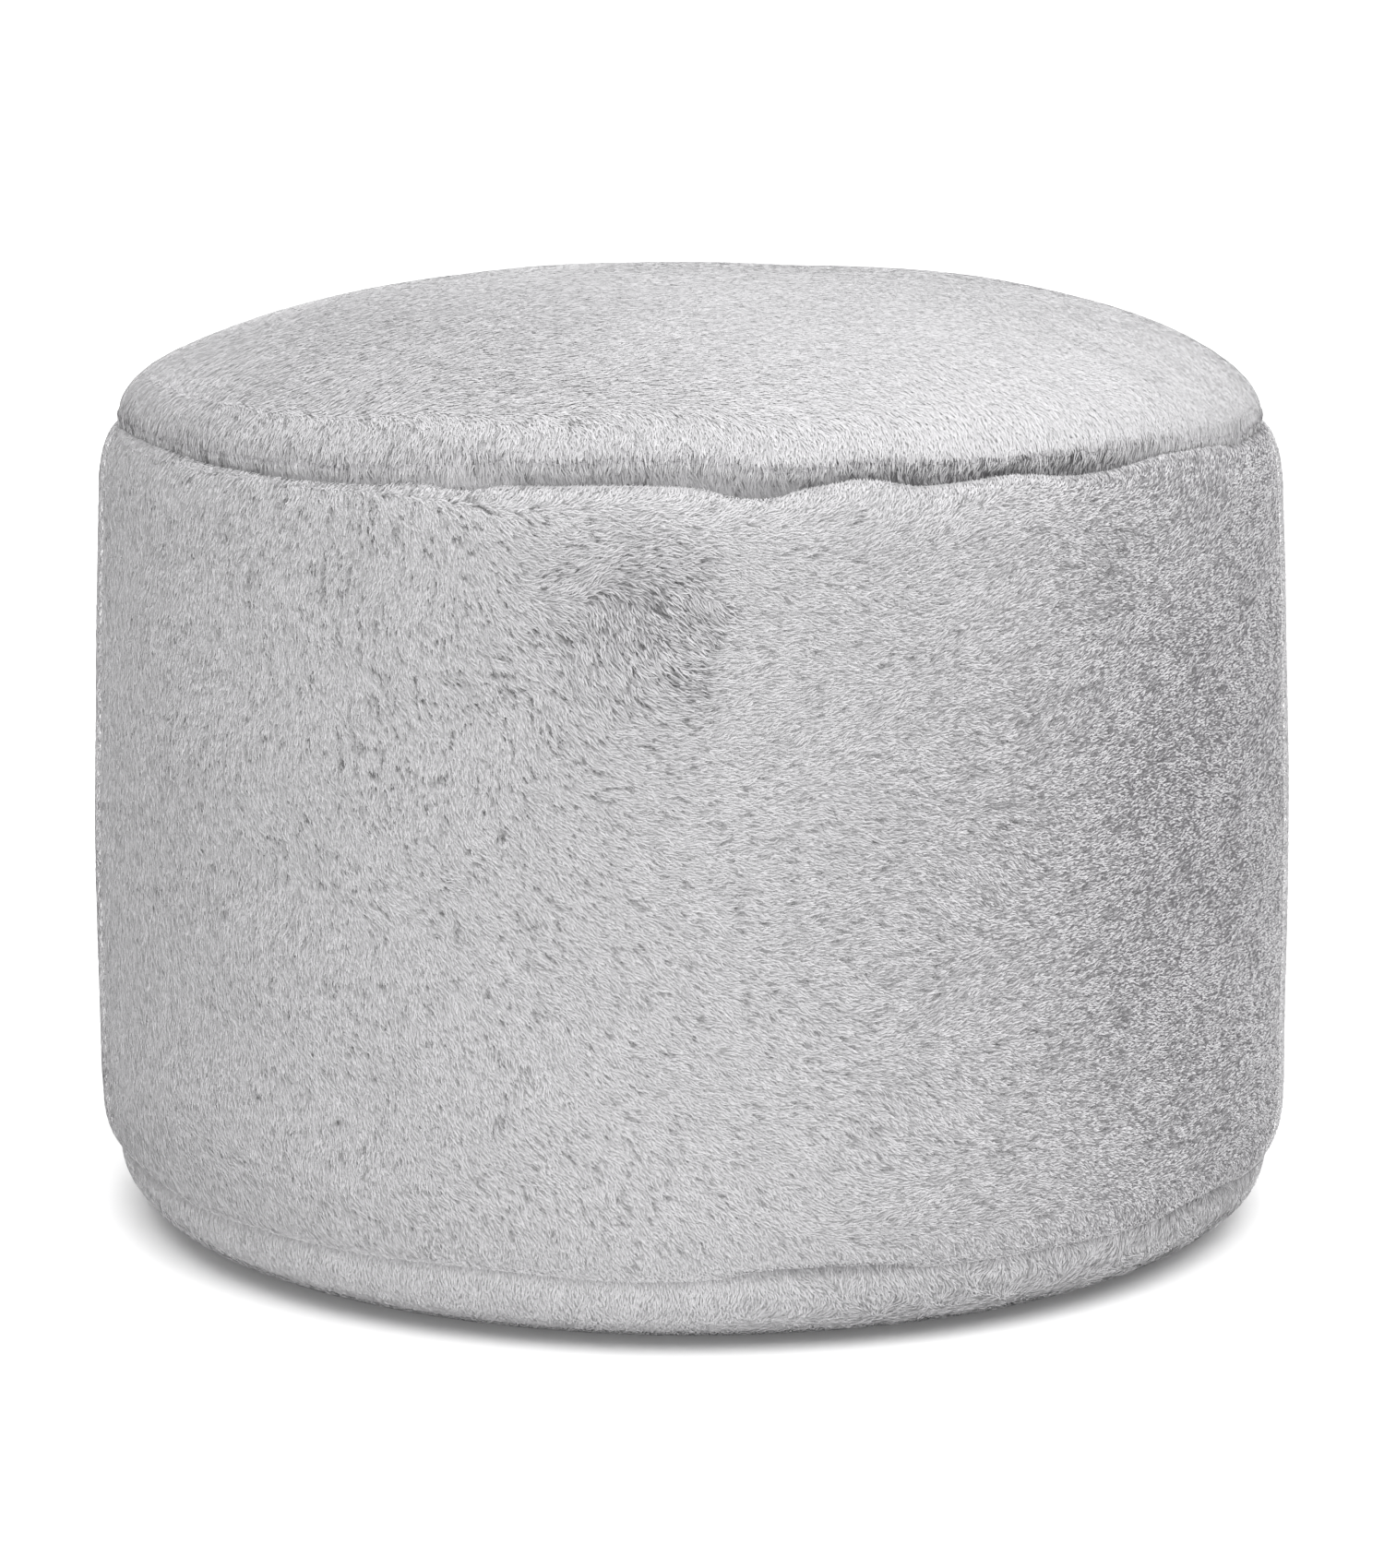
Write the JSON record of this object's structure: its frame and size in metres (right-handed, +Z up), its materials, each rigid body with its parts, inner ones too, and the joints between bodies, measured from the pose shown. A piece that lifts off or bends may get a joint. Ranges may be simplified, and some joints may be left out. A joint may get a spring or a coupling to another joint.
{
  "type": "round floor pouf",
  "caption": "Round drum-shaped floor pouf with a crowned top, rounded shoulders and a rolled base rim, covered all over in short dense plush pile.",
  "frame": {"origin": "centre of the bounding box at the floor", "axes": "+Z up, the front of the pouf towards -Y, +X to the right as seen from the front"},
  "size_m": [0.4998, 0.5003, 0.3892],
  "materials": {
    "plush": "short dense matt plush pile"
  },
  "bodies": {
    "root": {"top_panel": "plush", "side_band": "plush", "base_panel": "plush"}
  },
  "joints": []
}
